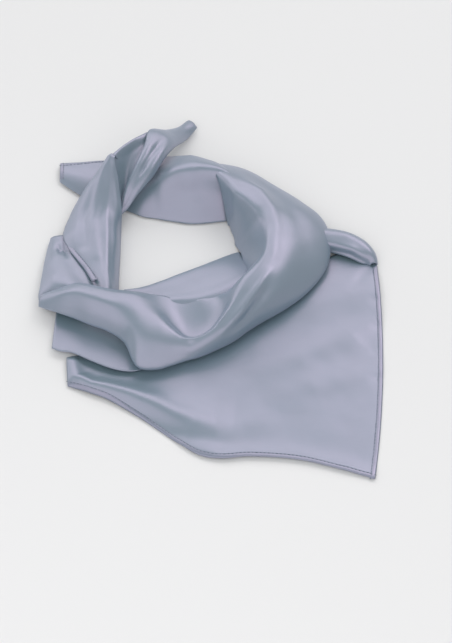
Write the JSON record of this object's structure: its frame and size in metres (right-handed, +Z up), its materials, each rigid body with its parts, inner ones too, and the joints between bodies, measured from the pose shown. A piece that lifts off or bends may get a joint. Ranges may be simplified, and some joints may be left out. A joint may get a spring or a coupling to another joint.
{
  "type": "neck scarf",
  "caption": "Satin square folded to a triangle and laid in a loose ring, its rolled ends crossed at the back and its hemmed point spread flat.",
  "frame": {"origin": "middle of the bounding box's underside, on the table the scarf lies on", "axes": "+X to the right and +Y away from the spread point, as seen from the front, +Z up from the table"},
  "size_m": [0.2114, 0.286, 0.0306],
  "materials": {
    "satin": "satin weave, soft sheen, silver lilac grey",
    "hem_satin": "satin weave, turned and stitched",
    "rolled_satin": "satin weave, hidden inside the ring"
  },
  "bodies": {
    "root": {"cowl": "satin", "back_band": "satin", "left_band": "satin", "left_wing": "satin", "crossing_scoop": "satin", "crossing_end": "satin", "under_layer": "satin", "inner_fold": "satin", "right_turn": "satin", "point_panel": "satin", "hem_front": "hem_satin", "hem_side": "hem_satin", "roll_core": "rolled_satin"}
  },
  "joints": []
}
